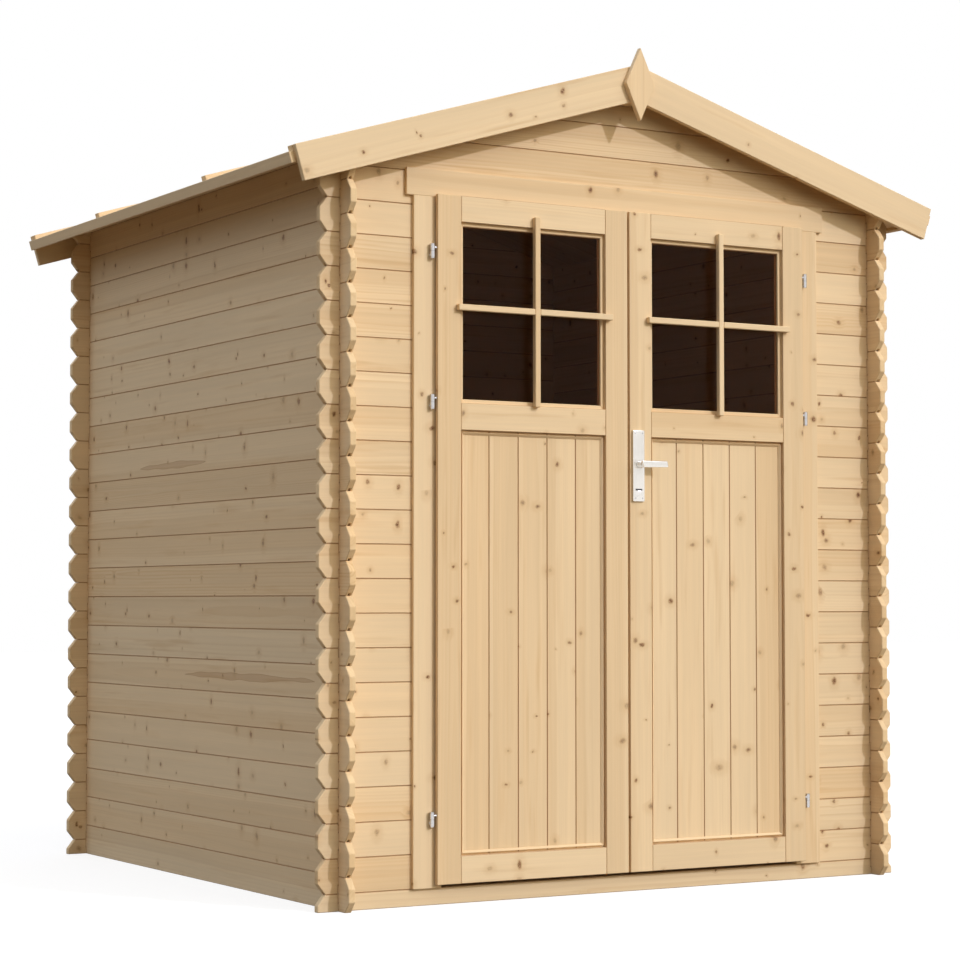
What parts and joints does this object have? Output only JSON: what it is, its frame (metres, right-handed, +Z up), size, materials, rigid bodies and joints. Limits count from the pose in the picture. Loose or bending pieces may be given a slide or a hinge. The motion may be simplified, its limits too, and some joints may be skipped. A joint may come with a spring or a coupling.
{
  "type": "wooden garden shed",
  "caption": "Wooden garden shed of interlocking horizontal planks with crossed corners, a shallow gabled roof and glazed doors that swing outwards.",
  "frame": {"origin": "centre of the walls' outline, on the ground", "axes": "+Z up, the doors face -Y, +X to the right when looking at the doors"},
  "size_m": [2.1246, 1.9166, 2.3215],
  "materials": {
    "log_wood": "planed untreated spruce",
    "roof_wood": "planed untreated spruce",
    "trim_wood": "planed untreated spruce",
    "floor_wood": "planed untreated spruce",
    "door_wood": "planed untreated spruce",
    "window_glass": "clear",
    "hinge_steel": "bright zinc plated",
    "handle_metal": "satin"
  },
  "bodies": {
    "shed": {"left_wall": "log_wood", "right_wall": "log_wood", "back_wall": "log_wood", "back_gable": "log_wood", "front_wall_left": "log_wood", "front_wall_right": "log_wood", "front_sill": "log_wood", "front_gable": "log_wood", "ridge_beam": "roof_wood", "left_roof": "roof_wood", "right_roof": "roof_wood", "left_roof_battens": "roof_wood", "right_roof_battens": "roof_wood", "left_eave_strip": "roof_wood", "right_eave_strip": "roof_wood", "front_left_barge": "trim_wood", "front_right_barge": "trim_wood", "back_left_barge": "trim_wood", "back_right_barge": "trim_wood", "finial": "trim_wood", "left_jamb": "trim_wood", "right_jamb": "trim_wood", "door_head": "trim_wood", "left_casing": "trim_wood", "right_casing": "trim_wood", "head_casing": "trim_wood", "floor": "floor_wood", "floor_bearers": "floor_wood", "left_frame_hinges": "hinge_steel", "right_frame_hinges": "hinge_steel"},
    "left_door": {"left_door_stiles": "door_wood", "left_door_rails": "door_wood", "left_door_panel": "door_wood", "left_door_glass": "window_glass", "left_door_hinges": "hinge_steel"},
    "right_door": {"right_door_stiles": "door_wood", "right_door_rails": "door_wood", "right_door_panel": "door_wood", "right_door_glass": "window_glass", "right_door_hinges": "hinge_steel", "handle_plates": "handle_metal"},
    "lever": {"door_lever": "handle_metal"}
  },
  "joints": [
    {"name": "left_door_hinge", "type": "hinge", "parent": "shed", "child": "left_door", "pos_m": [-0.619, -0.895, 0.95], "axis": [0, 0, -1], "range_deg": [0, 110]},
    {"name": "right_door_hinge", "type": "hinge", "parent": "shed", "child": "right_door", "pos_m": [0.619, -0.895, 0.95], "axis": [0, 0, 1], "range_deg": [0, 110]},
    {"name": "lever_turn", "type": "hinge", "parent": "right_door", "child": "lever", "pos_m": [0.029, -0.902, 1.1735], "axis": [0, 1, 0], "range_deg": [0, 40], "stiffness_Nm_per_rad": 0.8, "springref_deg": -34.38}
  ]
}
